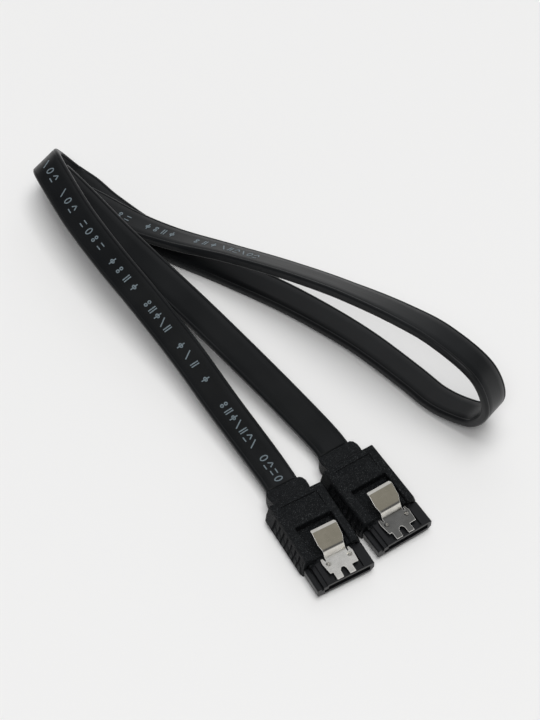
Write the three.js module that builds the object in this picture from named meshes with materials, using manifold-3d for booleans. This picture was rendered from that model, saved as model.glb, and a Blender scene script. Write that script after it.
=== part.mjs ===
// A flat data cable with a latching connector on each end, lying folded on a table.
// Millimetres, +Z up. The origin is under the middle of connector A, on the table.
// Connector A points its open mouth along -Y and the ribbon leaves it along +Y.

import * as THREE from 'three';
import { mergeVertices } from 'three/addons/utils/BufferGeometryUtils.js';
import Module from 'manifold-3d';

const wasm = await Module();
wasm.setup();
const rad = THREE.MathUtils.degToRad;

// Clearance between moulded pieces, and round each contact
const FIT = 0.3;
const CONTACT_FIT = 0.1;

// Ribbon section
const RIBBON_WIDTH = 7.95;
const RIBBON_THICK = 2.1;
const RIBBON_EDGE = 0.75;
const STEPS_PER_SPAN = 2;

// Contacts
const CONTACT_COUNT = 7;
const CONTACT_PITCH = 1.27;
const CONTACT_WIDTH = 0.5;
const CONTACT_THICK = 0.2;
const CONTACT_BACK_FROM_LIP = 1.2;
const CONTACT_TAIL = 1.4;
const CONTACT_NOSE = 0.19;
const CONTACT_NOSE_FRONT = 1.5;
const CONTACT_NOSE_LENGTH = 1.0;
const CONTACT_SLOPE = 0.6;
const CONTACT_TIP_DROP = 0.05;

// Mouth of the hard plug, with its key slot on the left
const MOUTH_MARGIN = 1.49;
const MOUTH_HEIGHT = 1.5;
const MOUTH_DEPTH = 5.6;
const KEY_WIDTH = 1.0;
const KEY_HEIGHT = 0.65;
const KEY_DROP = 0.25;

// Walls of the hard plug round its mouth
const LEFT_WALL = 1.8;
const RIGHT_WALL = 1.0;
const FLOOR_WALL = 0.75;
const ROOF_WALL = 0.75;
const PLUG_BACK_WALL = 0.4;
const PLUG_ABOVE_TABLE = 0.8;
const CORNER_CUT = 1.0;
const TOP_EDGE_CUT = 0.2;
const CORE_INSET = 1.3;
const CORE_STEP = 0.1;
const CORE_LENGTH = 9.5;

// Stepped ledges left of the plug's deck
const LEDGE_WIDTH = 1.0;
const LEDGE_DROP = 0.4;
const GROOVE_WIDTH = 0.6;
const GROOVE_SKIN = 0.4;
const RAIL_DROP = 0.5;
const RAIL_WIDTH = 1.0;

// Soft overmould
const BODY_LENGTH = 16.5;
const BODY_SWELL = 0.35;
const TOP_INSET = 0.5;
const SIDE_LEAN = 0.5;
const LEAN_TOP = 0.47;
const LEAN_SPAN = 0.2;
const RAIL_RISE = 2.2;
const REAR_WALL = 1.0;
const PANEL_LENGTH = 4.2;
const PANEL_WIDTH = 9.2;
const PANEL_FROM_REAR = 1.6;
const PANEL_DEPTH = 0.25;
const WELL_SPARE = 3.1;
const GUARD_RISE = 1.0;
const GUARD_BACK = 0.45;
const GUARD_LENGTH = 3.0;
const GRIP_COUNT = 7;
const GRIP_PITCH = 1.75;
const GRIP_DEPTH = 0.35;
const GRIP_FROM_FRONT = 0.6;
const GRIP_SLANT = 0.35;
const GRIP_GROOVE = 0.2;
const GRIP_MARGIN = 0.9;
const NECK_LENGTH = 4.2;
const NECK_WALL = 1.0;
const NECK_SKIN = 0.4;
const NECK_SHIFT = -0.7;
const INNER_MARGIN = 0.8;
const INNER_HEIGHT = 3.2;

// Steel latch: front legs, eared plate, step and thumb tab
const STEEL = 0.25;
const LATCH_GAP = 0.15;
const LATCH_FROM_LIP = 0.1;
const LATCH_SHIFT = -0.25;
const PLATE_WIDTH = 7.7;
const PLATE_LENGTH = 6.05;
const NECK_STRIP_WIDTH = 5.3;
const STEP_LENGTH = 0.95;
const STEP_RISE = 1.6;
const TAB_WIDTH = 6.25;
const TAB_LENGTH = 4.5;
const TAB_RISE = 2.2;
const TAB_CURL = 0.4;
const TAB_OFFSET = 0.1;
const LEG_LENGTH = 2.1;
const BED_MARGIN = 0.25;
const BED_BACK = 0.4;
const BED_DEPTH = 0.5;
const CATCH_RADIUS = 0.55;
const CATCH_HEIGHT = 0.35;
const CATCH_FROM_REAR = 1.85;
const CATCH_FROM_LEFT = 1.2;
const CATCH_FROM_RIGHT = 1.1;
const EAR_LENGTH = 1.15;

// How the ribbon meets a neck, and where connector B lies beside connector A
const CORD_GAP = 0.4;
const CORD_LEAD = 4.0;
const BESIDE_GAP = 0.55;
const B_AHEAD = 2.4;
const B_TURN = 3.7;

// Sizes that follow from the ones above
const contactSpan = (CONTACT_COUNT - 1) * CONTACT_PITCH;
const mouthWidth = contactSpan + 2 * MOUTH_MARGIN;
const plugHalf = (LEFT_WALL + KEY_WIDTH + mouthWidth + RIGHT_WALL) / 2;
const mouthRight = plugHalf - RIGHT_WALL;
const mouthLeft = mouthRight - mouthWidth;
const mouthMiddle = (mouthLeft + mouthRight) / 2;
const keyLeft = mouthLeft - KEY_WIDTH;
const mouthFloor = PLUG_ABOVE_TABLE + FLOOR_WALL;
const mouthRoof = mouthFloor + MOUTH_HEIGHT;
const deck = mouthRoof + ROOF_WALL;
const keyFloor = mouthFloor - KEY_DROP;
const keyRoof = keyFloor + KEY_HEIGHT + KEY_DROP;
const plugFrontLength = MOUTH_DEPTH + PLUG_BACK_WALL;
const coreHalf = plugHalf - CORE_INSET;
const coreFloor = PLUG_ABOVE_TABLE + CORE_STEP;
const coreRoof = deck - CORE_STEP;
const coreRear = plugFrontLength + CORE_LENGTH;
const contactFloor = mouthFloor - CONTACT_THICK;
const channelFloor = contactFloor - CONTACT_FIT;
const channelRoof = mouthFloor + CONTACT_FIT;
const channelHalf = CONTACT_WIDTH / 2 + CONTACT_FIT;
const innerFront = coreRear + FIT;
const contactRear = innerFront + CONTACT_TAIL;
const innerHalf = contactSpan / 2 + INNER_MARGIN;
const innerFloor = channelFloor - 0.15;
const innerRoof = innerFloor + INNER_HEIGHT;

const bodyFront = plugFrontLength + FIT;
const bodyRear = bodyFront + BODY_LENGTH;
const bodyMiddle = bodyFront + BODY_LENGTH / 2;
const bodyHalf = plugHalf + BODY_SWELL;
const topHalf = plugHalf - TOP_INSET;
const lowHalf = bodyHalf + SIDE_LEAN;
const bodyHeight = deck + RAIL_RISE;
const gripFront = bodyFront + GRIP_FROM_FRONT;
const innerRear = bodyRear - REAR_WALL - FIT;
const neckRear = bodyRear + NECK_LENGTH;
const neckHalf = RIBBON_WIDTH / 2 + NECK_WALL;
const ribbonHeight = bodyHeight / 2 + 0.1;

const plateUnder = deck + LATCH_GAP;
const plateMiddle = mouthMiddle + LATCH_SHIFT;
const plateLeft = plateMiddle - PLATE_WIDTH / 2;
const plateRight = plateMiddle + PLATE_WIDTH / 2;
const plateRear = LATCH_FROM_LIP + PLATE_LENGTH;
const stepRear = plateRear + STEP_LENGTH;
const tabRear = stepRear + TAB_LENGTH;
const stripLeft = plateMiddle + TAB_OFFSET / 2 - NECK_STRIP_WIDTH / 2;
const stripRight = stripLeft + NECK_STRIP_WIDTH;
const tabLeft = plateMiddle + TAB_OFFSET - TAB_WIDTH / 2;
const tabRight = tabLeft + TAB_WIDTH;
const wellLeft = plateLeft - 4 * FIT;
const wellRight = Math.max(plateRight, tabRight) + FIT;
const wellRear = tabRear + TAB_CURL + WELL_SPARE;
const wellFloor = coreRoof + FIT;

// Where the two connectors lie: middle x, middle y, turn in degrees
const PLACE_A = [0, 0, 0];
const PLACE_B = [2 * bodyHalf + BESIDE_GAP, B_AHEAD, B_TURN];

// Colours and finishes
const black = (name, roughness) => new THREE.MeshStandardMaterial({
  name, color: 0x1c1e20, roughness, metalness: 0,
});
const jacketMaterial = black('black PVC jacket', 0.5);
const overmouldMaterial = black('matt black overmould', 0.75);
const housingMaterial = black('glossy black housing', 0.35);
const innerMaterial = new THREE.MeshStandardMaterial({
  name: 'pale inner mould', color: 0xd8d4c4, roughness: 0.5, metalness: 0,
});
const contactMaterial = new THREE.MeshStandardMaterial({
  name: 'gold plated contact', color: 0xd9b45a, roughness: 0.25, metalness: 1,
});
const steelMaterial = new THREE.MeshStandardMaterial({
  name: 'brushed stainless latch', color: 0xc9c6bf, roughness: 0.3, metalness: 1,
});

// A closed three.js geometry as a solid
function solid(geometry) {
  const plain = geometry.clone();
  plain.deleteAttribute('normal');
  plain.deleteAttribute('uv');
  const merged = mergeVertices(plain, 1e-4);
  const mesh = new wasm.Mesh({
    numProp: 3,
    vertProperties: new Float32Array(merged.attributes.position.array),
    triVerts: new Uint32Array(merged.index.array),
  });
  return new wasm.Manifold(mesh);
}

// A solid back to a geometry
function geometryOf(body) {
  const mesh = body.getMesh();
  const geometry = new THREE.BufferGeometry();
  geometry.setAttribute('position', new THREE.BufferAttribute(mesh.vertProperties, 3));
  geometry.setIndex(new THREE.BufferAttribute(mesh.triVerts, 1));
  geometry.computeVertexNormals();
  return geometry;
}

function extrude(outline, depth) {
  const shape = new THREE.Shape(outline.map(([x, y]) => new THREE.Vector2(x, y)));
  return new THREE.ExtrudeGeometry(shape, { depth, bevelEnabled: false, steps: 1 });
}

// Outline seen from above, between two heights
function fromAbove(outline, low, high) {
  return solid(extrude(outline, high - low).translate(0, 0, low));
}

// Outline seen from the front (x, z), between two distances from the mouth
function fromFront(outline, near, far) {
  return solid(extrude(outline, far - near).rotateX(Math.PI / 2).translate(0, far, 0));
}

// Outline seen from the side (y, z), between two x
function fromSide(outline, left, right) {
  const turn = new THREE.Matrix4().set(0, 0, 1, left, 1, 0, 0, 0, 0, 1, 0, 0, 0, 0, 0, 1);
  return solid(extrude(outline, right - left).applyMatrix4(turn));
}

function box(x0, x1, y0, y1, z0, z1) {
  const geometry = new THREE.BoxGeometry(x1 - x0, y1 - y0, z1 - z0);
  return solid(geometry.translate((x0 + x1) / 2, (y0 + y1) / 2, (z0 + z1) / 2));
}

// Both sides of an outline that is given as [distance along, half width]
function mirrored(halves) {
  const right = halves.map(([along, half]) => [half, along]);
  const left = halves.map(([along, half]) => [-half, along]).reverse();
  return [...right, ...left];
}

function contactX(index) {
  return mouthMiddle - contactSpan / 2 + index * CONTACT_PITCH;
}

// Section of the overmould from the front, grown sideways by a given amount.
// The lower part of both sides stands a little to the left.
function bodySection(grow) {
  const lean = (z) => SIDE_LEAN
    * THREE.MathUtils.clamp((LEAN_TOP - z / bodyHeight) / LEAN_SPAN, 0, 1);
  return mirrored([
    [0, bodyHalf - 0.85 + grow], [0.4, bodyHalf - 0.45 + grow],
    [0.27 * bodyHeight, bodyHalf - 0.05 + grow], [0.47 * bodyHeight, bodyHalf + grow],
    [0.53 * bodyHeight, bodyHalf - 0.15 + grow], [0.77 * bodyHeight, topHalf + 0.3 + grow],
    [bodyHeight - 0.3, topHalf + grow], [bodyHeight, topHalf - 0.25 + grow],
  ]).map(([x, z]) => [x - lean(z), z]);
}

// A slice of the body whose sides sink towards its rear
function sinkingSlice(front, rear) {
  const geometry = extrude(bodySection(0), rear - front).rotateX(Math.PI / 2);
  const spots = geometry.translate(0, rear, 0).attributes.position;
  for (let i = 0; i < spots.count; i += 1) {
    const sunk = spots.getY(i) > (front + rear) / 2 ? GRIP_DEPTH : 0;
    spots.setX(i, spots.getX(i) - Math.sign(spots.getX(i)) * sunk);
  }
  return solid(geometry);
}

// Two rows of grip teeth on both sides, each tooth highest at its front
function gripTeeth() {
  const parting = bodyHeight / 2;
  const rows = [
    [GRIP_MARGIN, parting - GRIP_GROOVE / 2],
    [parting + GRIP_GROOVE / 2, bodyHeight - GRIP_MARGIN],
  ];
  const teeth = [];
  for (let i = 0; i < GRIP_COUNT; i += 1) {
    const front = gripFront + i * GRIP_PITCH;
    const rear = front + GRIP_PITCH - GRIP_GROOVE;
    const slice = sinkingSlice(front, rear + GRIP_SLANT);
    for (const [low, high] of rows) {
      const face = [
        [front, low], [rear, low], [rear + GRIP_SLANT, high], [front + GRIP_SLANT, high],
      ];
      teeth.push(slice.intersect(fromSide(face, -lowHalf - 1, lowHalf + 1)));
    }
  }
  return teeth.reduce((all, tooth) => all.add(tooth));
}

// The body with its sides sunk along the grips, and the grip teeth standing in them
function gripped(block) {
  const rear = gripFront + GRIP_COUNT * GRIP_PITCH + GRIP_SLANT;
  const sides = box(-lowHalf - 1, lowHalf + 1, gripFront, rear, GRIP_MARGIN,
    bodyHeight - GRIP_MARGIN);
  const core = block.intersect(fromFront(bodySection(-GRIP_DEPTH), bodyFront, bodyRear));
  return block.subtract(sides).add(core).add(block.intersect(gripTeeth()));
}

// Soft overmould: swollen sides with grips, open latch well, shallow panel and a strain relief neck
function overmould() {
  const bodyPlan = mirrored([
    [bodyFront, lowHalf - 0.8], [bodyFront + 0.9, lowHalf - 0.3], [bodyMiddle, lowHalf],
    [bodyRear - 0.6, lowHalf - 0.05], [bodyRear, lowHalf - 0.7],
  ]);
  const block = gripped(fromAbove(bodyPlan, 0, bodyHeight)
    .intersect(fromFront(bodySection(0), bodyFront - 1, bodyRear + 1)));
  const neckFront = bodyRear - REAR_WALL / 2;
  const neckPlan = mirrored([
    [neckFront, neckHalf - 0.45], [bodyRear + 0.2 * NECK_LENGTH, neckHalf - 0.15],
    [bodyRear + 0.57 * NECK_LENGTH, neckHalf], [bodyRear + 0.86 * NECK_LENGTH, neckHalf - 0.25],
    [neckRear, neckHalf - 0.75],
  ]);
  const neckLow = ribbonHeight - RIBBON_THICK / 2 - NECK_SKIN;
  const neckHigh = ribbonHeight + RIBBON_THICK / 2 + NECK_SKIN;
  const neckSide = [
    [neckFront, 0.5], [bodyRear + 0.4 * NECK_LENGTH, 0.8],
    [bodyRear + 0.86 * NECK_LENGTH, neckLow - 0.35], [neckRear, neckLow],
    [neckRear, neckHigh], [bodyRear + 0.86 * NECK_LENGTH, neckHigh + 0.25],
    [bodyRear + 0.4 * NECK_LENGTH, neckHigh + 0.75], [neckFront, bodyHeight - 0.2],
  ];
  const neck = fromAbove(neckPlan, 0, bodyHeight)
    .intersect(fromSide(neckSide, -neckHalf - 1, neckHalf + 1))
    .translate([NECK_SHIFT, 0, 0]);
  const roof = bodyHeight + 1;
  const coreRoom = coreHalf + FIT;
  const innerLeft = mouthMiddle - innerHalf - FIT;
  const innerRight = mouthMiddle + innerHalf + FIT;
  const panelRear = bodyRear - PANEL_FROM_REAR;
  const guardFront = plateRear + GUARD_BACK;
  const guardTop = deck + GUARD_RISE;
  return block
    .add(neck)
    .subtract(box(-coreRoom, coreRoom, bodyFront - 1, innerFront, coreFloor - FIT, wellFloor))
    .subtract(box(innerLeft, innerRight, coreRear, innerRear + FIT, innerFloor - FIT,
      innerRoof + FIT))
    .subtract(box(wellLeft, wellRight, bodyFront - 1, wellRear, deck - RAIL_DROP, roof))
    .subtract(box(-PANEL_WIDTH / 2, PANEL_WIDTH / 2, panelRear - PANEL_LENGTH, panelRear,
      bodyHeight - PANEL_DEPTH, roof))
    .add(box(wellLeft - FIT, plateLeft - FIT, guardFront, guardFront + GUARD_LENGTH, wellFloor,
      guardTop))
    .add(box(stripRight + 2 * FIT, wellRight + FIT, guardFront, guardFront + 0.7 * GUARD_LENGTH,
      wellFloor, guardTop));
}

// Hard housing: keyed mouth with stepped ledges on the left and a sunk bed under the latch
function housing() {
  const deckLeft = -plugHalf + RAIL_WIDTH + GROOVE_WIDTH + LEDGE_WIDTH;
  const grooveRight = -plugHalf + RAIL_WIDTH + GROOVE_WIDTH;
  const grooveLeft = -plugHalf + RAIL_WIDTH;
  const ledge = deck - LEDGE_DROP;
  const groove = keyRoof + GROOVE_SKIN;
  const rail = deck - RAIL_DROP;
  const low = PLUG_ABOVE_TABLE;
  const outline = [
    [-plugHalf + 0.3, low], [plugHalf - CORNER_CUT, low], [plugHalf, low + CORNER_CUT],
    [plugHalf, deck - TOP_EDGE_CUT], [plugHalf - TOP_EDGE_CUT, deck], [deckLeft, deck],
    [deckLeft, ledge], [grooveRight, ledge], [grooveRight, groove], [grooveLeft, groove],
    [grooveLeft, rail], [-plugHalf + 0.2, rail], [-plugHalf, rail - 0.2], [-plugHalf, low + 0.3],
  ];
  let body = fromFront(outline, 0, plugFrontLength)
    .add(box(-coreHalf, coreHalf, plugFrontLength - PLUG_BACK_WALL / 2, coreRear, coreFloor,
      coreRoof))
    .subtract(box(mouthLeft, mouthRight, -1, MOUTH_DEPTH, mouthFloor, mouthRoof))
    .subtract(box(keyLeft, mouthLeft + 0.1, -1, MOUTH_DEPTH, keyFloor, keyRoof))
    .subtract(box(plateLeft - BED_MARGIN, plateRight + BED_MARGIN, BED_BACK, stepRear,
      deck - BED_DEPTH, deck + 1));
  for (let i = 0; i < CONTACT_COUNT; i += 1) {
    const x = contactX(i);
    body = body.subtract(box(x - channelHalf, x + channelHalf,
      CONTACT_BACK_FROM_LIP - CONTACT_FIT, coreRear + 1, channelFloor, channelRoof));
  }
  return body;
}

// Hard inner mould that grips the contact tails behind the housing
function innerMould() {
  let body = box(mouthMiddle - innerHalf, mouthMiddle + innerHalf, innerFront, innerRear,
    innerFloor, innerRoof);
  for (let i = 0; i < CONTACT_COUNT; i += 1) {
    const x = contactX(i);
    body = body.subtract(box(x - channelHalf, x + channelHalf, coreRear,
      contactRear + CONTACT_FIT, channelFloor, channelRoof));
  }
  return body;
}

// Springy contact strip with a rounded nose inside the mouth
function contact() {
  const front = CONTACT_BACK_FROM_LIP;
  const noseFront = front + CONTACT_NOSE_FRONT;
  const noseRear = noseFront + CONTACT_NOSE_LENGTH;
  const tip = mouthFloor - CONTACT_TIP_DROP;
  const side = [
    [front, contactFloor], [contactRear, contactFloor], [contactRear, mouthFloor],
    [noseRear + CONTACT_SLOPE, mouthFloor], [noseRear, mouthFloor + CONTACT_NOSE],
    [noseFront, mouthFloor + CONTACT_NOSE], [noseFront - 1.5 * CONTACT_SLOPE, tip],
    [front, tip],
  ];
  return fromSide(side, -CONTACT_WIDTH / 2, CONTACT_WIDTH / 2);
}

// Bent steel strip
function latch() {
  const front = LATCH_FROM_LIP;
  const low = plateUnder;
  const high = plateUnder + STEP_RISE;
  const top = high + TAB_RISE;
  const side = [
    [front, low], [plateRear, low], [stepRear, high], [tabRear, top],
    [tabRear + 0.85 * TAB_CURL, top - 0.15], [tabRear + TAB_CURL, top + 0.1],
    [tabRear, top + STEEL], [stepRear - 0.15, high + STEEL], [plateRear - 0.1, low + STEEL],
    [front, low + STEEL],
  ];
  const legRear = front + 0.9 * LEG_LENGTH;
  const archTop = front + LEG_LENGTH + 0.2;
  const legLeft = plateMiddle - 0.36 * PLATE_WIDTH;
  const legRight = plateMiddle + 0.25 * PLATE_WIDTH;
  const earRear = plateRear;
  const slotFront = plateRear - 0.85;
  const plan = [
    [legLeft, front], [plateMiddle - 1.15, front], [plateMiddle - 1.1, front + 0.5 * LEG_LENGTH],
    [plateMiddle - 0.75, legRear], [plateMiddle - 0.3, archTop], [plateMiddle + 0.1, archTop - 0.05],
    [plateMiddle + 0.4, legRear - 0.3], [plateMiddle + 0.45, front], [legRight, front],
    [legRight, legRear], [plateRight - 0.25, legRear], [plateRight, plateRear - EAR_LENGTH],
    [plateRight - 0.3, earRear], [stripRight + 0.4, earRear], [stripRight + 0.3, slotFront],
    [stripRight, slotFront], [stripRight, stepRear], [tabRight, tabRear],
    [tabRight - 0.3, tabRear + TAB_CURL + 0.1], [tabLeft + 0.3, tabRear + TAB_CURL + 0.1],
    [tabLeft, tabRear], [stripLeft, stepRear], [stripLeft - 0.1, slotFront],
    [stripLeft - 0.35, slotFront], [stripLeft - 0.55, earRear], [plateLeft + 0.15, earRear],
    [plateLeft, plateRear - EAR_LENGTH], [plateLeft + 0.4, legRear + 0.1], [legLeft, legRear + 0.1],
  ];
  let body = fromSide(side, plateLeft - 1, wellRight + 1)
    .intersect(fromAbove(plan, low - 1, top + 1));
  for (const x of [plateLeft + CATCH_FROM_LEFT, plateRight - CATCH_FROM_RIGHT]) {
    const bump = new THREE.CylinderGeometry(0.5 * CATCH_RADIUS, CATCH_RADIUS,
      CATCH_HEIGHT + STEEL / 2, 10).rotateX(Math.PI / 2);
    body = body.add(solid(bump.translate(x, plateRear - CATCH_FROM_REAR,
      low + STEEL / 2 + (CATCH_HEIGHT + STEEL / 2) / 2)));
  }
  return body;
}

// One connector: its pieces in the frame of its own mouth, placed by the middle of its body
function connector(tag, [x, y, turn]) {
  const pieces = new THREE.Group();
  const put = (name, body, material) => {
    const mesh = new THREE.Mesh(geometryOf(body), material);
    mesh.name = `${name}_${tag}`;
    pieces.add(mesh);
    return mesh;
  };
  put('overmould', overmould(), overmouldMaterial);
  put('housing', housing(), housingMaterial);
  put('inner_mould', innerMould(), innerMaterial);
  put('latch', latch(), steelMaterial);
  for (let i = 0; i < CONTACT_COUNT; i += 1) {
    put(`contact_${i + 1}`, contact(), contactMaterial).position.x = contactX(i);
  }
  pieces.position.y = -bodyMiddle;
  const place = new THREE.Group();
  place.add(pieces);
  place.position.set(x, y, 0);
  place.rotation.z = rad(turn);
  return place;
}

// A point of the ribbon on a connector's own line, a distance behind its neck
function leadOut([x, y, turn], distance) {
  const reach = neckRear - bodyMiddle + distance;
  const [across, along] = [Math.cos(rad(turn)), Math.sin(rad(turn))];
  return [
    x + across * NECK_SHIFT - along * reach, y + along * NECK_SHIFT + across * reach,
    ribbonHeight, turn, 0,
  ];
}

// Route of the ribbon's middle from connector A to connector B:
// x, y, z, then the turn and the tilt of its width in degrees
const ROUTE = [
  leadOut(PLACE_A, CORD_GAP),
  leadOut(PLACE_A, CORD_LEAD),
  [-1.1, 22, 3.7, 1, 3],
  [-2.4, 37, 5.3, 2, 7],
  [-3.7, 53, 7.6, 4, 11],
  [-5.8, 69.5, 10.2, 5, 15],
  [-7.7, 83, 11.8, 5, 17],
  [-8.8, 97, 12.6, 2, 18],
  [-8.7, 107.5, 12.8, 5, 18],
  [-8.0, 116.4, 12.0, 14, 16],
  [-5.7, 120.5, 6.9, 16, 15],
  [-2.0, 117.4, 1.9, 16, 8],
  [0.1, 113.4, 1.3, 17, 4],
  [2.1, 106.2, 1.1, 19, 2],
  [8.9, 88.8, 1.1, 25, 0],
  [18.6, 73.4, 1.1, 28, 0],
  [27.9, 57.4, 1.3, 26, -4],
  [35.8, 40, 1.6, 24, -8],
  [40.6, 25, 1.7, 22, -10],
  [42.8, 17, 1.8, 23, -10],
  [45.2, 11.4, 2.7, 23, -9],
  [47.6, 6.4, 5.2, 24, -7],
  [48.8, 3.4, 13.0, 24, -7],
  [47.5, 7.0, 21.3, 24, -12],
  [43.0, 18.1, 25.0, 24, -15],
  [38.7, 28.2, 24.2, 24, -21],
  [32.7, 42.9, 20.1, 25, -29],
  [26.4, 57, 15.2, 27, -30],
  [18.5, 72, 9.9, 30, -29],
  [9.6, 85.9, 6.0, 30, -19],
  [3.6, 96.0, 4.6, 27, -10],
  [-1.1, 105.6, 3.9, 21, -2],
  [-4.7, 112.4, 3.85, 17, 5],
  [-5.8, 115.2, 5.0, 17, 7],
  [-6.3, 115.2, 7.4, 17, 8],
  [-6.3, 112.5, 8.8, 16, 8],
  [-4.9, 105, 9.0, 12, 8],
  [-2.1, 89.5, 8.7, 12, 7],
  [4.9, 59.5, 7.2, 12, 5],
  [11.2, 31.6, 4.7, 9, 2],
  leadOut(PLACE_B, CORD_LEAD),
  leadOut(PLACE_B, CORD_GAP),
];

// The route as a curve whose section keeps its width turned and tilted as the route says
class RibbonCurve extends THREE.CatmullRomCurve3 {
  constructor(route) {
    super(route.map(([x, y, z]) => new THREE.Vector3(x, y, z)), false, 'centripetal');
    this.route = route;
  }

  station(t) {
    const last = this.route.length - 1;
    const span = Math.min(Math.floor(t * last + 1e-9), last - 1);
    const part = t * last - span;
    const mix = (k) => this.route[span][k] * (1 - part) + this.route[span + 1][k] * part;
    const turn = rad(mix(3));
    const tilt = rad(mix(4));
    const level = Math.cos(tilt);
    const side = new THREE.Vector3(Math.cos(turn) * level, Math.sin(turn) * level, Math.sin(tilt));
    const ahead = this.getPoint(Math.min(t + 1e-4, 1));
    const behind = this.getPoint(Math.max(t - 1e-4, 0));
    const tangent = ahead.sub(behind).normalize();
    side.addScaledVector(tangent, -side.dot(tangent)).normalize();
    const normal = new THREE.Vector3().crossVectors(tangent, side);
    const point = this.getPoint(t);
    const reach = Math.abs(side.z) * RIBBON_WIDTH / 2 + Math.abs(normal.z) * RIBBON_THICK / 2;
    point.z = Math.max(point.z, reach);
    return { point, tangent, side, normal };
  }

  stations(steps) {
    return Array.from({ length: steps + 1 }, (_, i) => this.station(i / steps));
  }

  getSpacedPoints(steps) {
    return this.stations(steps).map((station) => station.point);
  }

  computeFrenetFrames(steps) {
    const stations = this.stations(steps);
    return {
      tangents: stations.map((station) => station.tangent),
      normals: stations.map((station) => station.side),
      binormals: stations.map((station) => station.normal),
    };
  }
}

// Flat section with round corners
function ribbonSection() {
  const radius = Math.min(RIBBON_EDGE, 0.45 * RIBBON_THICK);
  const across = RIBBON_WIDTH / 2 - radius;
  const up = RIBBON_THICK / 2 - radius;
  const points = [];
  for (const [sx, sy, start] of [[1, 1, 0], [-1, 1, 90], [-1, -1, 180], [1, -1, 270]]) {
    for (const bend of [0, 45, 90]) {
      const angle = rad(start + bend);
      points.push(new THREE.Vector2(
        sx * across + radius * Math.cos(angle), sy * up + radius * Math.sin(angle),
      ));
    }
  }
  return new THREE.Shape(points);
}

const ribbonGeometry = new THREE.ExtrudeGeometry(ribbonSection(), {
  steps: (ROUTE.length - 1) * STEPS_PER_SPAN,
  extrudePath: new RibbonCurve(ROUTE),
  bevelEnabled: false,
});
const ribbon = new THREE.Mesh(ribbonGeometry, jacketMaterial);
ribbon.name = 'ribbon_cable';

const cable = new THREE.Group();
cable.add(connector('a', PLACE_A));
cable.add(connector('b', PLACE_B));
cable.add(ribbon);

export default cable;
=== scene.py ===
# A flat data cable with a latching plug on each end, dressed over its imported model.
# Metres, +Z up. The values below are in millimetres and degrees, but for the light and the
# floor, which are in metres.
import math

import bmesh
import bpy
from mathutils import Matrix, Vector


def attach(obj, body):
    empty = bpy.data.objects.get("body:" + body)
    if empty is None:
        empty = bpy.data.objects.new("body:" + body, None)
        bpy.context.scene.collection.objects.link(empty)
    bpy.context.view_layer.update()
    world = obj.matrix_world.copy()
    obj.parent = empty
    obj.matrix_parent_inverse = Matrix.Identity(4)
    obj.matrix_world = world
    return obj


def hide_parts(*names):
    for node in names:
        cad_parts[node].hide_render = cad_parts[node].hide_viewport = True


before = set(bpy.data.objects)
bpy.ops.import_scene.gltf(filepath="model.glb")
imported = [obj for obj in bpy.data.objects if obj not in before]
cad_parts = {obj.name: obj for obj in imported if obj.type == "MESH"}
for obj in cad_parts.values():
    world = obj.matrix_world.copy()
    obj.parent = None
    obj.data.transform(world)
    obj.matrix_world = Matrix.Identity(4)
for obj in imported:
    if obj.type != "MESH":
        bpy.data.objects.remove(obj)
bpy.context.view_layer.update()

MM = 0.001

# Sockets of a Mix node that take and give colours
MIX_SHARE = 0
MIX_FIRST = 6
MIX_SECOND = 7
MIX_RESULT = 2

# Camera: the point that it looks at, its distance, its angles and its lens
AIM = Vector((15.01, 46.3, 0.0)) * MM
CAMERA_DISTANCE = 519.8 * MM
CAMERA_ELEVATION = 55.2
CAMERA_AZIMUTH = -29.35
CAMERA_LENS = 110.0

# Ribbon: its section, the radius of its edges and its height where it leaves a neck
RIBBON_WIDTH = 7.95
RIBBON_THICK = 2.1
RIBBON_EDGE = 0.7
RIBBON_HEIGHT = 3.1
STEPS_PER_SPAN = 10
EDGE_STEP = 15

# Across the ribbon's face from rim to rim: share of its half width, and how deep it lies there
RIM_LINE = [
    (0.98, 0.08), (0.94, 0.08), (0.9, 0.0), (0.5, 0.0), (0.0, 0.0), (-0.5, 0.0), (-0.9, 0.0),
    (-0.94, 0.08), (-0.98, 0.08),
]

# Rounding of edges: width and segments for each kind of piece, and the angles that count as sharp
GRIP_EDGE = (0.2, 3)
PLUG_EDGE = (0.08, 2)
LATCH_EDGE = (0.07, 2)
SHARP_ANGLE = 28.0
LATCH_SHARP_ANGLE = 40.0

# Share of an overmould's rounding on its grips, and on its panel and its neck's end; and where
# those lie in the connector's own frame
FINE_SHARE = 0.3
CRISP_SHARE = 0.12
GRIP_ZONE = (6.4, 20.5)
GRIP_SIDE = 6.3
GRIP_LEVELS = (0.8, 5.2)
PANEL_ZONE = (16.6, 21.4)
PANEL_HALF = 5.2
PANEL_LEVEL = 5.7
NECK_END = 26.9

# Printed marks: their size, their stroke, and how far they stand on the ribbon
MARK_HEIGHT = 2.1
MARK_WIDTH = 1.3
MARK_STROKE = 0.28
MARK_LIFT = 0.03
BAR_HALF_GAP = 0.3

# Where each group of marks starts along the ribbon, how many it has and their pitch
MARK_GROUPS = [
    (1.6, 4, 2.1), (12.2, 7, 2.0), (32.0, 1, 2.0), (36.6, 3, 2.9), (47.8, 5, 2.0), (61.2, 4, 2.9),
    (75.0, 4, 2.6), (88.0, 3, 2.7), (98.6, 3, 2.5), (326.4, 6, 1.9), (338.8, 3, 2.4), (350.6, 4, 2.3),
    (363.4, 2, 2.4),
]

# Steel latch in its connector's own frame, whose y starts at the mouth
STEEL = 0.25
LATCH_MIDDLE = 0.65
LATCH_REACH = 5.0
STAMP_HEIGHT = 12.0
BEND_STEPS = 8

# The strip from the side: y, z of the middle of its thickness and the bend's radius
LATCH_LINE = [
    (-0.2, 4.075, 0), (6.15, 4.075, 0.4), (7.02, 5.68, 1.6), (11.1, 7.64, 0.25), (11.95, 7.46, 0),
]

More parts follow.
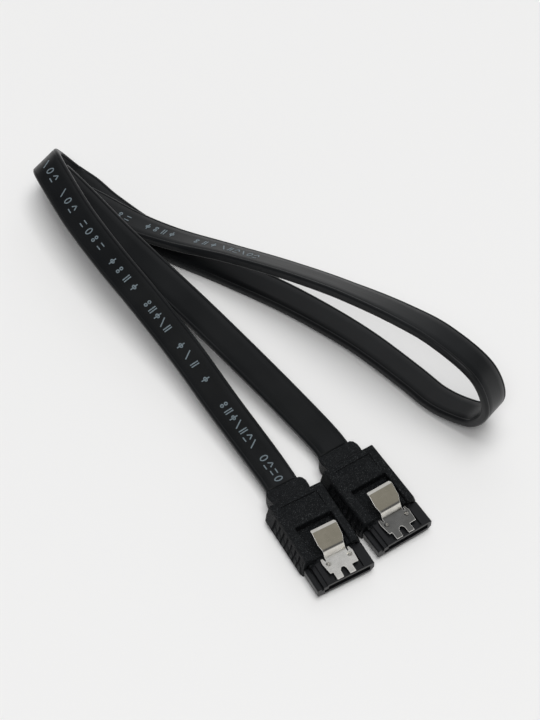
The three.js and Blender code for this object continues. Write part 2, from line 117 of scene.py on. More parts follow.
# The strip from above, clockwise from its left leg: x from its middle, y and the corner's radius
LATCH_PLAN = [
    (-2.77, 0.1, 0.15), (-2.77, 2.09, 0.2), (-3.45, 2.09, 0.15), (-3.85, 5.0, 0.2),
    (-3.7, 6.15, 0.15), (-3.15, 6.15, 0.15), (-2.95, 5.3, 0.12), (-2.65, 5.3, 0.12),
    (-2.6, 7.1, 0.6), (-3.02, 8.4, 0.8), (-3.02, 11.75, 0.25), (-2.8, 12.2, 0.2), (2.7, 12.2, 0.5),
    (3.22, 11.6, 0.5), (3.22, 8.4, 0.8), (2.7, 7.1, 0.6), (2.7, 5.3, 0.12), (3, 5.3, 0.12),
    (3.1, 6.15, 0.15), (3.55, 6.15, 0.15), (3.85, 5.0, 0.2), (3.6, 1.99, 0.15), (1.93, 1.99, 0.2),
    (1.93, 0.1, 0.15), (0.45, 0.1, 0.15), (0.4, 1.75, 0.3), (0.05, 2.4, 0.35), (-0.55, 2.4, 0.35),
    (-1.05, 1.75, 0.3), (-1.15, 0.1, 0.15),
]

# Catches: their places on the plate, and their form as radius and height above its middle
CATCHES = [(-2.65, 4.3), (2.75, 4.3)]
CATCH_FORM = [
    (0.6, 0.0), (0.6, 0.13), (0.5, 0.2), (0.36, 0.42), (0.2, 0.47), (0.12, 0.3), (0.0, 0.26),
]

# Tone of each latch's plate, a painted reflection: the steel is the same, but each plate's colour is
# painted with what it reflects, B's much darker than A's
PLATE_REFLECTION_TONES = {"a": (0.80, 0.785, 0.745), "b": (0.19, 0.188, 0.18)}
PLATE_SPREAD = 1.2

# Roughness of the plate and the tab, and the heights between which one gives way to the other
PLATE_ROUGHNESS = 0.3
TAB_ROUGHNESS = 0.18
PLATE_TOP = 4.3
TAB_START = 4.6
TAB_POLISHED = 4.9

# Light: soft boxes as (name, bearing, elevation, width, height, level, shown in reflections)
LAMP_DISTANCE = 3.0
LAMP_TARGET = Vector((0.02, 0.05, 0.0))
SOFT_BOXES = [
    ("top_box", 68, 84, 0.6, 0.6, 0.593, False),
    ("front_box", 188, 60, 0.4, 0.3, 0.22, True),
]

# Studio walls: the ways to their brighter parts as bearing and elevation, and their tones
WALL_LIGHT = (125, 75)
WALL_STOPS = [(0.80, (0.10, 0.10, 0.105)), (0.95, (0.31, 0.295, 0.255))]
BACK_LIGHT = (12, 38)
BACK_STOPS = [(0.78, (0.0, 0.0, 0.0)), (0.99, (0.85, 0.86, 0.88))]
HORIZON_STOPS = [(0.10, (0.95, 0.95, 0.95)), (0.36, (0.0, 0.0, 0.0))]
FLOOR_REACH = 3.0

# Connectors: middle x, middle y and turn in degrees
PLACE_A = (0.0, 0.0, 0.0)
PLACE_B = (15.65, 2.4, 3.7)
PLACES = {"a": PLACE_A, "b": PLACE_B}
CONTACTS = 7

# From a connector's mouth to its middle and to the end of its hard front, and from its middle to
# its neck's end, which sits to one side
BODY_MIDDLE = 14.55
PLUG_FRONT_LENGTH = 6.05
NECK_REACH = 12.45
NECK_SHIFT = -0.7

# How far behind the necks the ribbon's first two points lie
CORD_GAP = 0.4
CORD_LEAD = 4.0


# The ribbon's point on a connector's own line, a distance behind its neck
def lead_out(place, distance):
    x, y, turn = place
    reach = NECK_REACH + distance
    across = math.cos(math.radians(turn))
    along = math.sin(math.radians(turn))
    return (
        x + across * NECK_SHIFT - along * reach, y + along * NECK_SHIFT + across * reach,
        RIBBON_HEIGHT, turn, 0,
    )


# The ribbon's route in millimetres: x, y, z, then the turn and the tilt of its width in degrees
ROUTE = [
    lead_out(PLACE_A, CORD_GAP),
    lead_out(PLACE_A, CORD_LEAD),
    (-1.1, 22, 3.7, 1, 3),
    (-2.4, 37, 5.3, 2, 7),
    (-3.7, 53, 7.6, 4, 11),
    (-5.8, 69.5, 10.2, 5, 15),
    (-7.7, 83, 11.8, 5, 17),
    (-8.8, 97, 12.6, 2, 18),
    (-8.7, 107.5, 12.8, 5, 18),
    (-8.0, 116.4, 12.0, 14, 16),
    (-5.7, 120.5, 6.9, 16, 15),
    (-2.0, 117.4, 1.9, 16, 8),
    (0.1, 113.4, 1.3, 17, 4),
    (2.1, 106.2, 1.1, 19, 2),
    (8.9, 88.8, 1.1, 25, 0),
    (18.6, 73.4, 1.1, 28, 0),
    (27.9, 57.4, 1.3, 26, -4),
    (35.8, 40, 1.6, 24, -8),
    (40.6, 25, 1.7, 22, -10),
    (42.8, 17, 1.8, 23, -10),
    (45.2, 11.4, 2.7, 23, -9),
    (47.6, 6.4, 5.2, 24, -7),
    (48.8, 3.4, 13.0, 24, -7),
    (47.5, 7.0, 21.3, 24, -12),
    (43.0, 18.1, 25.0, 24, -15),
    (38.7, 28.2, 24.2, 24, -21),
    (32.7, 42.9, 20.1, 25, -29),
    (26.4, 57, 15.2, 27, -30),
    (18.5, 72, 9.9, 30, -29),
    (9.6, 85.9, 6.0, 30, -19),
    (3.6, 96.0, 4.6, 27, -10),
    (-1.1, 105.6, 3.9, 21, -2),
    (-4.7, 112.4, 3.85, 17, 5),
    (-5.8, 115.2, 5.0, 17, 7),
    (-6.3, 115.2, 7.4, 17, 8),
    (-6.3, 112.5, 8.8, 16, 8),
    (-4.9, 105, 9.0, 12, 8),
    (-2.1, 89.5, 8.7, 12, 7),
    (4.9, 59.5, 7.2, 12, 5),
    (11.2, 31.6, 4.7, 9, 2),
    lead_out(PLACE_B, CORD_LEAD),
    lead_out(PLACE_B, CORD_GAP),
]


# Puts the camera where the photograph was taken from
def make_camera():
    elevation = math.radians(CAMERA_ELEVATION)
    azimuth = math.radians(CAMERA_AZIMUTH)
    level = math.cos(elevation)
    ahead = Vector((-math.sin(azimuth) * level, math.cos(azimuth) * level, -math.sin(elevation)))
    data = bpy.data.cameras.new("camera")
    data.lens = CAMERA_LENS
    camera = bpy.data.objects.new("camera", data)
    camera.location = AIM - ahead * CAMERA_DISTANCE
    camera.rotation_euler = (math.pi / 2 - elevation, 0, azimuth)
    bpy.context.scene.collection.objects.link(camera)
    bpy.context.scene.camera = camera


# Makes an object of a mesh in metres and links it to the scene
def add_object(name, vertices, faces):
    data = bpy.data.meshes.new(name)
    data.from_pydata([tuple(v) for v in vertices], [], faces)
    data.update()
    piece = bpy.data.objects.new(name, data)
    bpy.context.scene.collection.objects.link(piece)
    return piece


def shade_smooth(piece):
    for polygon in piece.data.polygons:
        polygon.use_smooth = True


# Turns a mesh's outside outwards, and joins its points that are closer than a gap
def weld(data, gap=0.0):
    mesh = bmesh.new()
    mesh.from_mesh(data)
    if gap > 0:
        bmesh.ops.remove_doubles(mesh, verts=mesh.verts, dist=gap)
    bmesh.ops.recalc_face_normals(mesh, faces=mesh.faces)
    mesh.to_mesh(data)
    mesh.free()


# One span of a centripetal Catmull-Rom curve through 3-D points
def span_point(points, span, part):
    last = len(points) - 1
    p1 = points[span]
    p2 = points[span + 1]
    p0 = points[span - 1] if span > 0 else 2 * p1 - p2
    p3 = points[span + 2] if span + 2 <= last else 2 * p2 - p1
    d0 = math.sqrt((p1 - p0).length)
    d1 = math.sqrt((p2 - p1).length)
    d2 = math.sqrt((p3 - p2).length)
    t1 = ((p1 - p0) / d0 - (p2 - p0) / (d0 + d1) + (p2 - p1) / d1) * d1
    t2 = ((p2 - p1) / d1 - (p3 - p1) / (d1 + d2) + (p3 - p2) / d2) * d1
    c2 = 3 * (p2 - p1) - 2 * t1 - t2
    c3 = 2 * (p1 - p2) + t1 + t2
    point = p1 + t1 * part + c2 * part ** 2 + c3 * part ** 3
    tangent = (t1 + 2 * c2 * part + 3 * c3 * part ** 2).normalized()
    return point, tangent


# A station of the ribbon: its middle, and the directions of its length, width and thickness
def station(points, span, part):
    point, tangent = span_point(points, span, part)
    turn = math.radians(ROUTE[span][3] * (1 - part) + ROUTE[span + 1][3] * part)
    tilt = math.radians(ROUTE[span][4] * (1 - part) + ROUTE[span + 1][4] * part)
    level = math.cos(tilt)
    side = Vector((math.cos(turn) * level, math.sin(turn) * level, math.sin(tilt)))
    side = (side - tangent * side.dot(tangent)).normalized()
    normal = tangent.cross(side)
    reach = abs(side.z) * RIBBON_WIDTH / 2 + abs(normal.z) * RIBBON_THICK / 2
    point.z = max(point.z, reach)
    return point, tangent, side, normal


# The ribbon's stations from one neck to the other
def ribbon_stations():
    points = [Vector(row[:3]) for row in ROUTE]
    stations = []
    for span in range(len(points) - 1):
        for step in range(STEPS_PER_SPAN):
            stations.append(station(points, span, step / STEPS_PER_SPAN))
    stations.append(station(points, len(points) - 2, 1.0))
    return stations


# Outline of the flat ribbon, with round corners and a fine groove beside each rim
def ribbon_section():
    across = RIBBON_WIDTH / 2 - RIBBON_EDGE
    up = RIBBON_THICK / 2 - RIBBON_EDGE
    points = []
    for sx, sy, start in ((1, 1, 0), (-1, 1, 90), (-1, -1, 180), (1, -1, 270)):
        for bend in range(0, 91, EDGE_STEP):
            angle = math.radians(start + bend)
            points.append((
                sx * across + RIBBON_EDGE * math.cos(angle),
                sy * up + RIBBON_EDGE * math.sin(angle),
            ))
        if start in (0, 180):
            for share, dip in RIM_LINE:
                points.append((sx * across * share, sy * (RIBBON_THICK / 2 - dip)))
    return points


# Length of the ribbon's middle up to each station
def ribbon_lengths(stations):
    lengths = [0.0]
    for before, after in zip(stations, stations[1:]):
        lengths.append(lengths[-1] + (after[0] - before[0]).length)
    return lengths


# The ribbon as one swept solid, with its texture along its length: it is the part's cord
def make_ribbon(stations, lengths):
    section = ribbon_section()
    count = len(section)
    vertices = []
    for point, _, side, normal in stations:
        vertices += [(point + side * x + normal * y) * MM for x, y in section]
    faces = []
    for row in range(len(stations) - 1):
        here = row * count
        ahead = here + count
        for i in range(count):
            j = (i + 1) % count
            faces.append((here + i, here + j, ahead + j, ahead + i))
    faces.append(tuple(reversed(range(count))))
    faces.append(tuple(range((len(stations) - 1) * count, len(stations) * count)))
    piece = add_object("ribbon", vertices, faces)
    uv = piece.data.uv_layers.new(name="along").data
    around = [0.0]
    for i in range(count):
        a = Vector(section[i])
        b = Vector(section[(i + 1) % count])
        around.append(around[-1] + (b - a).length)
    loop = 0
    for row in range(len(stations) - 1):
        for i in range(count):
            for step_along, step_round in ((0, 0), (0, 1), (1, 1), (1, 0)):
                uv[loop].uv = (lengths[row + step_along], around[i + step_round])
                loop += 1
    shade_smooth(piece)
    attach(piece, "cable")
    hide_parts("ribbon_cable")
    return piece


# The station at a length along the ribbon, between its neighbours
def station_at(stations, lengths, length):
    for i in range(len(lengths) - 1):
        if lengths[i + 1] >= length:
            part = (length - lengths[i]) / (lengths[i + 1] - lengths[i])
            return [a.lerp(b, part) for a, b in zip(stations[i], stations[i + 1])]
    return stations[-1]


# A stroke between two points of a mark, as a strip of short quads
def stroke(start, end, steps=3):
    start = Vector(start)
    end = Vector(end)
    across = (end - start).normalized().orthogonal() * MARK_STROKE / 2
    points = [start.lerp(end, i / steps) for i in range(steps + 1)]
    return [[a - across, b - across, b + across, a + across] for a, b in zip(points, points[1:])]


# An oval ring round a point of a mark
def ring(middle, wide, tall, steps=20):
    quads = []
    for i in range(steps):
        corners = []
        for k, inset in ((i, 0), (i + 1, 0), (i + 1, MARK_STROKE), (i, MARK_STROKE)):
            angle = math.tau * k / steps
            corners.append(Vector((
                middle[0] + (wide / 2 - inset) * math.cos(angle),
                middle[1] + (tall / 2 - inset) * math.sin(angle),
            )))
        quads.append(corners)
    return quads


# The plain shapes that the print is made of
def mark_shapes():
    half = MARK_WIDTH / 2
    rise = MARK_HEIGHT / 2
    small = MARK_HEIGHT * 0.45
    bar = 0.6 * rise
    gap = BAR_HALF_GAP
    oval = ring((0, 0), MARK_WIDTH, MARK_HEIGHT)
    bars = stroke((-gap, -rise), (-gap, rise)) + stroke((gap, -rise), (gap, rise))
    lines = stroke((-half, -bar), (half, -bar)) + stroke((-half, bar), (half, bar))
    slope = stroke((-half, -rise), (half, rise))
    pair = ring((0, 0.5 * rise), small, small) + ring((0, -0.5 * rise), small, small)
    roof = stroke((-half, 0), (0, rise)) + stroke((0, rise), (half, 0))
    base = stroke((-half, -rise), (half, -rise))
    pin = stroke((0, -rise), (0, rise)) + ring((0, 0), MARK_WIDTH, small)
    return [oval, bars, lines, slope, pair, roof + base, pin]


# Generic print along the ribbon, in the place of its legend
def make_marks(stations, lengths):
    shapes = mark_shapes()
    vertices = []
    faces = []
    chosen = 0
    for start, count, pitch in MARK_GROUPS:
        for i in range(count):
            for quad in shapes[chosen % len(shapes)]:
                faces.append(tuple(range(len(vertices), len(vertices) + 4)))
                for u, v in quad:
                    point, _, side, normal = station_at(stations, lengths, start + i * pitch + u)
                    above = normal * -(RIBBON_THICK / 2 + MARK_LIFT)
                    vertices.append((point + side * v + above) * MM)
            chosen += 3 if i % 2 else 2
    piece = add_object("ribbon_print", vertices, faces)
    weld(piece.data, 0.0005 * MM)
    skin = piece.modifiers.new("skin", "SOLIDIFY")
    skin.thickness = 2 * MARK_LIFT * MM
    skin.offset = 0
    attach(piece, "cable")
    return piece


# A line of points with its corners rounded: each point has its own radius
def rounded_line(points, closed=False):
    line = []
    count = len(points)
    for i, (x, y, radius) in enumerate(points):
        here = Vector((x, y))
        if radius == 0 or (not closed and i in (0, count - 1)):
            line.append(here)
            continue
        before = Vector(points[i - 1][:2]) - here
        after = Vector(points[(i + 1) % count][:2]) - here
        half = before.angle(after) / 2
        reach = min(radius / math.tan(half), 0.45 * before.length, 0.45 * after.length)
        start = here + before.normalized() * reach
        end = here + after.normalized() * reach
        for step in range(BEND_STEPS + 1):
            part = step / BEND_STEPS
            line.append(start * (1 - part) ** 2 + here * 2 * part * (1 - part) + end * part ** 2)
    return line


# A prism whose outline is given in 3-D, pushed along a direction
def prism(outline, push):
    count = len(outline)
    vertices = list(outline) + [v + push for v in outline]
    faces = [tuple(range(count)), tuple(reversed(range(count, 2 * count)))]
    faces += [(i, i + count, (i + 1) % count + count, (i + 1) % count) for i in range(count)]
    return vertices, faces


# A point of a connector's own frame, in metres of the scene
def placed(place, point):
    x, y, turn = place
    angle = math.radians(turn)
    ahead = point[1] - BODY_MIDDLE
    return Vector((
        x + math.cos(angle) * point[0] - math.sin(angle) * ahead,
        y + math.sin(angle) * point[0] + math.cos(angle) * ahead,
        point[2],
    )) * MM


# A point of the scene in a connector's own frame, in millimetres
def unplaced(place, point):
    x, y, turn = place
    angle = math.radians(turn)
    east = point[0] / MM - x
    north = point[1] / MM - y
    return (
        math.cos(angle) * east + math.sin(angle) * north,
        math.cos(angle) * north - math.sin(angle) * east + BODY_MIDDLE,
        point[2] / MM,
    )


# Joins a mesh's close points and takes out the edges between faces that lie in one plane
def merge_flats(mesh, gap, angle):
    bmesh.ops.remove_doubles(mesh, verts=mesh.verts, dist=gap)
    bmesh.ops.dissolve_limit(
        mesh, angle_limit=math.radians(angle), verts=mesh.verts, edges=mesh.edges,
    )


# The steel latch: a strip with rounded bends, stamped to its outline, with two drawn catches
def make_latch(tag, place, steel, edge):
    line = rounded_line(LATCH_LINE)
    upper = []
    lower = []
    for i, point in enumerate(line):
        along = (line[min(i + 1, len(line) - 1)] - line[max(i - 1, 0)]).normalized()
        out = Vector((-along.y, along.x)) * STEEL / 2
        upper.append(point + out)
        lower.append(point - out)
    left = LATCH_MIDDLE - LATCH_REACH
    side = [Vector((left, p.x, p.y)) for p in lower + list(reversed(upper))]
    strip = add_object(f"clip_{tag}", *prism(side, Vector((2 * LATCH_REACH, 0, 0))))
    plan = [Vector((LATCH_MIDDLE + p.x, p.y, 0)) for p in rounded_line(LATCH_PLAN, closed=True)]
    stamp = add_object("stamp", *prism(plan, Vector((0, 0, STAMP_HEIGHT))))
    weld(strip.data)
    weld(stamp.data)
    cutter = strip.modifiers.new("stamped", "BOOLEAN")
    cutter.operation = "INTERSECT"
    cutter.solver = "EXACT"
    cutter.object = stamp
    bpy.context.view_layer.update()
    view = bpy.context.evaluated_depsgraph_get()
    data = bpy.data.meshes.new_from_object(strip.evaluated_get(view))
    strip.modifiers.clear()
    bpy.data.objects.remove(stamp)
    mesh = bmesh.new()
    mesh.from_mesh(data)
    merge_flats(mesh, 0.01, 1)
    for vertex in mesh.verts:
        vertex.co = placed(place, vertex.co)
    mesh.to_mesh(data)
    mesh.free()
    strip.data = data
    dress(strip, f"latch_{tag}", f"latch_arm_{tag}", LATCH_EDGE, LATCH_SHARP_ANGLE)
    wear(strip, steel)
    # The latch's rounded edges wear the painted highlight
    strip.data.materials.append(edge)
    bevel = strip.modifiers["edges"]
    bevel.material = 1
    bevel.use_clamp_overlap = False
    for i, (x, y) in enumerate(CATCHES):
        foot = (LATCH_MIDDLE + x, y, LATCH_LINE[0][1])
        catch = turned(f"catch_{i + 1}_{tag}", CATCH_FORM, foot, place)
        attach(catch, f"latch_arm_{tag}")
        wear(catch, steel)


# A small turned form on a connector: radius and height pairs round an upright axis
def turned(name, form, foot, place, steps=24):
    vertices = []
    faces = []
    for radius, height in form:
        for i in range(steps):
            angle = math.tau * i / steps
            point = Vector((radius * math.cos(angle), radius * math.sin(angle), height))
            vertices.append(placed(place, Vector(foot) + point))
    for row in range(len(form) - 1):
        here = row * steps
        above = here + steps
        for i in range(steps):
            j = (i + 1) % steps
            faces.append((here + i, here + j, above + j, above + i))
    faces.append(tuple(reversed(range(steps))))
    piece = add_object(name, vertices, faces)
    weld(piece.data, 0.001 * MM)
    shade_smooth(piece)
    return piece


# Whether a point of an overmould, in its connector's frame, belongs to its panel
def in_panel(x, y, z):
    return abs(x) < PANEL_HALF and PANEL_ZONE[0] < y < PANEL_ZONE[1] and z > PANEL_LEVEL


# How much of the rounding an overmould's edge takes, from a point of it in the connector's frame
def edge_share(x, y, z):
    if in_panel(x, y, z) or y > NECK_END:
        return CRISP_SHARE
    beside = abs(x) > GRIP_SIDE
    along = GRIP_ZONE[0] < y < GRIP_ZONE[1]
    level = GRIP_LEVELS[0] < z < GRIP_LEVELS[1]
    return FINE_SHARE if beside and along and level else 1.0


# Soft overmould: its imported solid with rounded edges, finer on the grips and round the panel
def make_grip(tag, place):
    piece = rounded_copy("overmould", "grip", tag, place, GRIP_EDGE)
    bevel = piece.modifiers["edges"]
    bevel.limit_method = "WEIGHT"
    bevel.use_clamp_overlap = False
    mesh = bmesh.new()
    mesh.from_mesh(piece.data)
    weight = mesh.edges.layers.float.new("bevel_weight_edge")
    for edge in mesh.edges:
        if edge.is_manifold and edge.calc_face_angle() > math.radians(SHARP_ANGLE):
            middle = (edge.verts[0].co + edge.verts[1].co) / 2
            edge[weight] = edge_share(*unplaced(place, middle))
    mesh.to_mesh(piece.data)
    mesh.free()
    return piece


# A principled material with its node tree ready
def principled(name, color, roughness, metallic=0.0, specular=0.5):
    material = bpy.data.materials.new(name)
    material.use_nodes = True
    shader = material.node_tree.nodes["Principled BSDF"]
    shader.inputs["Base Color"].default_value = (*color, 1)
    shader.inputs["Roughness"].default_value = roughness
    shader.inputs["Metallic"].default_value = metallic
    shader.inputs["Specular IOR Level"].default_value = specular
    return material, material.node_tree.nodes, material.node_tree.links, shader


def add_bump(nodes, links, shader, height, strength, distance):
    bump = nodes.new("ShaderNodeBump")
    bump.inputs["Strength"].default_value = strength
    bump.inputs["Distance"].default_value = distance
    links.new(height, bump.inputs["Height"])
    links.new(bump.outputs["Normal"], shader.inputs["Normal"])


def add_noise(nodes, links, vector, scale, detail=2.0, roughness=0.5):
    node = nodes.new("ShaderNodeTexNoise")
    node.inputs["Scale"].default_value = scale
    node.inputs["Detail"].default_value = detail
    node.inputs["Roughness"].default_value = roughness
    links.new(vector, node.inputs["Vector"])
    return node.outputs["Fac"]


def add_range(nodes, links, value, low, high, out_low, out_high):
    node = nodes.new("ShaderNodeMapRange")
    node.inputs["From Min"].default_value = low
    node.inputs["From Max"].default_value = high
    node.inputs["To Min"].default_value = out_low
    node.inputs["To Max"].default_value = out_high
    links.new(value, node.inputs["Value"])
    return node.outputs["Result"]


def add_ramp(nodes, links, value, stops):
    node = nodes.new("ShaderNodeValToRGB")
    ramp = node.color_ramp
    ramp.elements[0].position = stops[0][0]
    ramp.elements[0].color = (*stops[0][1], 1)
    ramp.elements[1].position = stops[1][0]
    ramp.elements[1].color = (*stops[1][1], 1)
    links.new(value, node.inputs["Fac"])
    return node.outputs["Color"]


def object_coordinates(nodes):
    return nodes.new("ShaderNodeTexCoord").outputs["Object"]


def stretched(nodes, links, vector, scale):
    node = nodes.new("ShaderNodeMapping")
    node.inputs["Scale"].default_value = scale
    links.new(vector, node.inputs["Vector"])
    return node.outputs["Vector"]


# Two colours in one Mix node
def mixed(nodes, links, first, second, blend="MIX"):
    node = nodes.new("ShaderNodeMix")
    node.data_type = "RGBA"
    node.blend_type = blend
    links.new(first, node.inputs[MIX_FIRST])
    links.new(second, node.inputs[MIX_SECOND])
    return node


# Satin PVC with faint lines along its length
def jacket_material():
    base = (0.006, 0.007, 0.008)
    material, nodes, links, shader = principled("jacket", base, 0.36, specular=0.22)
    uv = nodes.new("ShaderNodeUVMap")
    uv.uv_map = "along"
    lines = stretched(nodes, links, uv.outputs["UV"], (0.02, 1.0, 1.0))
    streak = add_noise(nodes, links, lines, 4.0, 3.0)
    patch = add_noise(nodes, links, object_coordinates(nodes), 90.0, 2.0)
    fine = add_noise(nodes, links, object_coordinates(nodes), 4000.0, 1.0)
    stops = ((0.35, (0.0055, 0.0062, 0.0070)), (0.65, (0.0080, 0.0088, 0.0096)))
    links.new(add_ramp(nodes, links, patch, stops), shader.inputs["Base Color"])
    rough = add_range(nodes, links, streak, 0.3, 0.7, 0.32, 0.42)
    links.new(rough, shader.inputs["Roughness"])
    add_bump(nodes, links, shader, fine, 0.25, 0.00002)
    return material


# Fine eroded mould grain, as on soft moulded plastic, with pale specks painted in its colour as
# glints
def overmould_material():
    base = (0.006, 0.007, 0.008)
    material, nodes, links, shader = principled("overmould", base, 0.5, specular=0.12)
    place = object_coordinates(nodes)
    grain = add_noise(nodes, links, place, 5200.0, 3.0, 0.6)
    # Pale specks in the base colour: painted glints of the grain
    painted_glint = add_noise(nodes, links, place, 6400.0, 1.0)
    stops = ((0.61, (0.0052, 0.0060, 0.0068)), (0.77, (0.095, 0.10, 0.105)))
    links.new(add_ramp(nodes, links, painted_glint, stops), shader.inputs["Base Color"])
    rough = add_range(nodes, links, grain, 0.35, 0.7, 0.6, 0.36)
    links.new(rough, shader.inputs["Roughness"])
    add_bump(nodes, links, shader, grain, 1.0, 0.0001)
    return material


# Hard black plastic with a half gloss
def housing_material():
    base = (0.008, 0.0085, 0.010)
    material, nodes, links, shader = principled("housing", base, 0.32, specular=0.3)
    place = object_coordinates(nodes)
    patch = add_noise(nodes, links, place, 500.0, 2.0)
    rough = add_range(nodes, links, patch, 0.3, 0.7, 0.26, 0.40)
    links.new(rough, shader.inputs["Roughness"])
    stops = ((0.3, (0.0072, 0.0078, 0.0090)), (0.7, (0.0092, 0.0098, 0.0110)))
    links.new(add_ramp(nodes, links, patch, stops), shader.inputs["Base Color"])
    add_bump(nodes, links, shader, patch, 0.1, 0.00002)
    return material


# Stainless strip, brushed across its width: its flat plate has its own roughness, and a tone that is
# a painted reflection, and gives way to the tab's above the plate's top
def latch_material(tag):
    steel = (0.66, 0.64, 0.59)
    material, nodes, links, shader = principled(f"latch_{tag}", steel, PLATE_ROUGHNESS, metallic=1.0)
    place = object_coordinates(nodes)
    split = nodes.new("ShaderNodeSeparateXYZ")
    links.new(place, split.inputs["Vector"])
    height = split.outputs["Z"]
    low = PLATE_TOP * MM
    base = add_range(nodes, links, height, low, TAB_POLISHED * MM, PLATE_ROUGHNESS, TAB_ROUGHNESS)
    brushed = stretched(nodes, links, place, (0.05, 1.0, 1.0))
    streak = add_noise(nodes, links, brushed, 9000.0, 2.0)
    patch = add_noise(nodes, links, place, 600.0, 2.0)
    spread = add_range(nodes, links, streak, 0.3, 0.7, 0.85, 1.15)
    rough = nodes.new("ShaderNodeMath")
    rough.operation = "MULTIPLY"
    links.new(base, rough.inputs[0])
    links.new(spread, rough.inputs[1])
    links.new(rough.outputs["Value"], shader.inputs["Roughness"])
    # The plate's colour is a painted reflection, darker on B than on A
    plate_reflection = PLATE_REFLECTION_TONES[tag]
    pale = tuple(PLATE_SPREAD * v for v in plate_reflection)
    tab = add_ramp(nodes, links, patch, ((0.3, (0.63, 0.61, 0.56)), (0.7, (0.69, 0.67, 0.62))))
    plate = add_ramp(nodes, links, patch, ((0.3, plate_reflection), (0.7, pale)))
    both = mixed(nodes, links, plate, tab)
    share = add_range(nodes, links, height, low, TAB_START * MM, 0.0, 1.0)
    links.new(share, both.inputs[MIX_SHARE])
    links.new(both.outputs[MIX_RESULT], shader.inputs["Base Color"])
    add_bump(nodes, links, shader, streak, 0.1, 0.00001)
    return material


# Painted highlight: paler steel on a latch's rounded edges, so that they show as bright outlines
def edge_highlight_material():
    highlight_tone = (0.86, 0.85, 0.82)
    material, nodes, links, shader = principled("painted_edge_highlight", highlight_tone, 0.3, metallic=0.3)
    patch = add_noise(nodes, links, object_coordinates(nodes), 1500.0, 2.0)
    rough = add_range(nodes, links, patch, 0.3, 0.7, 0.22, 0.38)
    links.new(rough, shader.inputs["Roughness"])
    return material


# Painted shade: dull black on the narrow walls round an overmould's panel, where the recess lies in
# shade
def recess_shade_material():
    black = (0.002, 0.002, 0.002)
    material, nodes, links, shader = principled("painted_recess_shade", black, 0.8, specular=0.02)
    grain = add_noise(nodes, links, object_coordinates(nodes), 5200.0, 2.0)
    rough = add_range(nodes, links, grain, 0.3, 0.7, 0.7, 0.9)
    links.new(rough, shader.inputs["Roughness"])
    return material


# Pale grey print ink
def ink_material():
    material, nodes, links, shader = principled("ink", (0.26, 0.32, 0.35), 0.5, specular=0.3)
    worn = add_noise(nodes, links, object_coordinates(nodes), 3500.0, 3.0)
    stops = ((0.3, (0.10, 0.125, 0.14)), (0.6, (0.17, 0.21, 0.235)))
    links.new(add_ramp(nodes, links, worn, stops), shader.inputs["Base Color"])
    return material


# Gold plating
def contact_material():
    material, nodes, links, shader = principled("contact", (0.83, 0.62, 0.27), 0.25, metallic=1.0)
    patch = add_noise(nodes, links, object_coordinates(nodes), 2500.0, 2.0)
    rough = add_range(nodes, links, patch, 0.3, 0.7, 0.18, 0.34)
    links.new(rough, shader.inputs["Roughness"])
    return material


# Plain pale plastic of the hidden inner moulds
def inner_material():
    material, nodes, links, shader = principled("inner_mould", (0.52, 0.47, 0.36), 0.5)
    patch = add_noise(nodes, links, object_coordinates(nodes), 1200.0, 2.0)
    rough = add_range(nodes, links, patch, 0.3, 0.7, 0.42, 0.58)
    links.new(rough, shader.inputs["Roughness"])
    return material


# Matt white paper
def floor_material():
    return principled("floor", (0.86, 0.86, 0.86), 0.9, specular=0.0)[0]


# Connector A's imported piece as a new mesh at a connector's place, with its edges rounded. Both
# connectors are alike, and the piece stands for that connector's own node.
def rounded_copy(kind, name, tag, place, edge):
    mesh = bmesh.new()
    mesh.from_mesh(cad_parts[f"{kind}_a"].data)
    merge_flats(mesh, 0.002 * MM, 0.5)
    for vertex in mesh.verts:
        vertex.co = placed(place, unplaced(PLACE_A, vertex.co))
    data = bpy.data.meshes.new(name)
    mesh.to_mesh(data)
    mesh.free()
    if "custom_normal" in data.attributes:
        data.attributes.remove(data.attributes["custom_normal"])
    piece = bpy.data.objects.new(f"{name}_{tag}", data)
    bpy.context.scene.collection.objects.link(piece)
    dress(piece, f"{kind}_{tag}", "cable", edge, SHARP_ANGLE)
    return piece


# Rounds a piece's sharp edges and lets it stand for its node
def dress(piece, node, body, edge, sharp):
    width, segments = edge
    bevel = piece.modifiers.new("edges", "BEVEL")
    bevel.width = width * MM
    bevel.segments = segments
    bevel.limit_method = "ANGLE"
    bevel.angle_limit = math.radians(sharp)
    bevel.harden_normals = True
    shade_smooth(piece)
    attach(piece, body)
    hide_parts(node)


def wear(piece, material):
    piece.data.materials.clear()
    piece.data.materials.append(material)


# Gives a second material to the faces that a rule picks, from a face's tilt and its middle in
# the connector's own frame
def wear_also(piece, material, place, picks):
    piece.data.materials.append(material)
    for face in piece.data.polygons:
        if picks(face.normal.z, *unplaced(place, face.center)):
            face.material_index = 1


# The upright walls round an overmould's panel, which get the painted shade
def panel_shade_wall(tilt, x, y, z):
    return abs(tilt) < 0.5 and in_panel(x, y, z)


# What lies behind a plug's hard front, under the overmould
def behind_front(tilt, x, y, z):
    return y > PLUG_FRONT_LENGTH


# The way to a bearing, clockwise from where the camera looks, and an elevation
def toward(bearing, elevation):
    turn = math.radians(bearing - CAMERA_AZIMUTH)
    rise = math.radians(elevation)
    return Vector((math.sin(turn) * math.cos(rise), math.cos(turn) * math.cos(rise), math.sin(rise)))


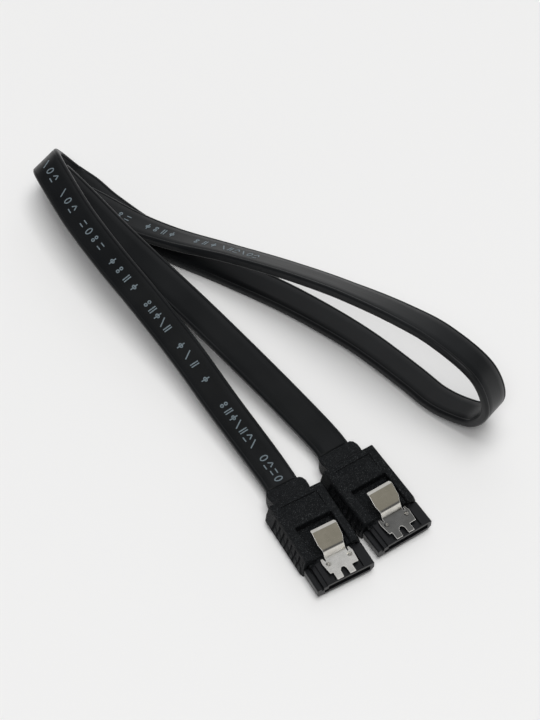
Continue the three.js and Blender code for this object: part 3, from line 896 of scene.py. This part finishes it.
# A soft box: its width and height are shares of its distance, and its level is what it lends to
# the floor, where 1 is white paper
def soft_box(name, bearing, elevation, width, height, level, mirrored):
    rise = math.radians(elevation)
    away = toward(bearing, elevation)
    data = bpy.data.lights.new(name, "AREA")
    data.shape = "RECTANGLE"
    data.size = width * LAMP_DISTANCE
    data.size_y = height * LAMP_DISTANCE
    data.energy = level * (math.pi * LAMP_DISTANCE) ** 2 / math.sin(rise)
    lamp = bpy.data.objects.new(name, data)
    lamp.location = LAMP_TARGET + away * LAMP_DISTANCE
    lamp.rotation_euler = (-away).to_track_quat("-Z", "Y").to_euler()
    lamp.visible_glossy = mirrored
    bpy.context.scene.collection.objects.link(lamp)


# The tones that a world direction gets from a bright spot on the studio's walls
def wall_spot(nodes, links, direction, spot, stops):
    facing = nodes.new("ShaderNodeVectorMath")
    facing.operation = "DOT_PRODUCT"
    facing.inputs[1].default_value = toward(*spot)
    links.new(direction, facing.inputs[0])
    return add_ramp(nodes, links, facing.outputs["Value"], stops)


# The brighter of two tones
def brighter(nodes, links, first, second):
    both = mixed(nodes, links, first, second, "LIGHTEN")
    both.inputs[MIX_SHARE].default_value = 1.0
    return both.outputs[MIX_RESULT]


# A studio with pale walls near the floor, a bright spot above and a window at the back
def make_world():
    world = bpy.data.worlds.new("studio")
    bpy.context.scene.world = world
    world.use_nodes = True
    nodes = world.node_tree.nodes
    links = world.node_tree.links
    direction = nodes.new("ShaderNodeTexCoord").outputs["Generated"]
    split = nodes.new("ShaderNodeSeparateXYZ")
    links.new(direction, split.inputs["Vector"])
    wall = wall_spot(nodes, links, direction, WALL_LIGHT, WALL_STOPS)
    back = wall_spot(nodes, links, direction, BACK_LIGHT, BACK_STOPS)
    low = add_ramp(nodes, links, split.outputs["Z"], HORIZON_STOPS)
    tones = brighter(nodes, links, brighter(nodes, links, wall, back), low)
    links.new(tones, nodes["Background"].inputs["Color"])


def make_light():
    make_world()
    for box in SOFT_BOXES:
        soft_box(*box)


def make_floor(material):
    reach = FLOOR_REACH
    floor = add_object("floor", [
        (-reach, -reach, 0), (reach, -reach, 0), (reach, reach, 0), (-reach, reach, 0),
    ], [(0, 1, 2, 3)])
    wear(floor, material)


def main():
    make_camera()
    stations = ribbon_stations()
    lengths = ribbon_lengths(stations)
    marks = make_marks(stations, lengths)
    wear(marks, ink_material())
    ribbon = make_ribbon(stations, lengths)
    wear(ribbon, jacket_material())
    overmould = overmould_material()
    housing = housing_material()
    painted_recess_shade = recess_shade_material()
    edge = edge_highlight_material()
    gold = contact_material()
    pale = inner_material()
    for tag, place in PLACES.items():
        grip = make_grip(tag, place)
        wear(grip, overmould)
        # Painted shade on the walls round the panel
        wear_also(grip, painted_recess_shade, place, panel_shade_wall)
        plug = rounded_copy("housing", "plug", tag, place, PLUG_EDGE)
        wear(plug, housing)
        wear_also(plug, overmould, place, behind_front)
        make_latch(tag, place, latch_material(tag), edge)
        wear(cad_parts[f"inner_mould_{tag}"], pale)
        for i in range(CONTACTS):
            wear(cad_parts[f"contact_{i + 1}_{tag}"], gold)
    make_light()
    make_floor(floor_material())
    bpy.context.scene.view_settings.view_transform = "Standard"


main()
bpy.context.view_layer.update()
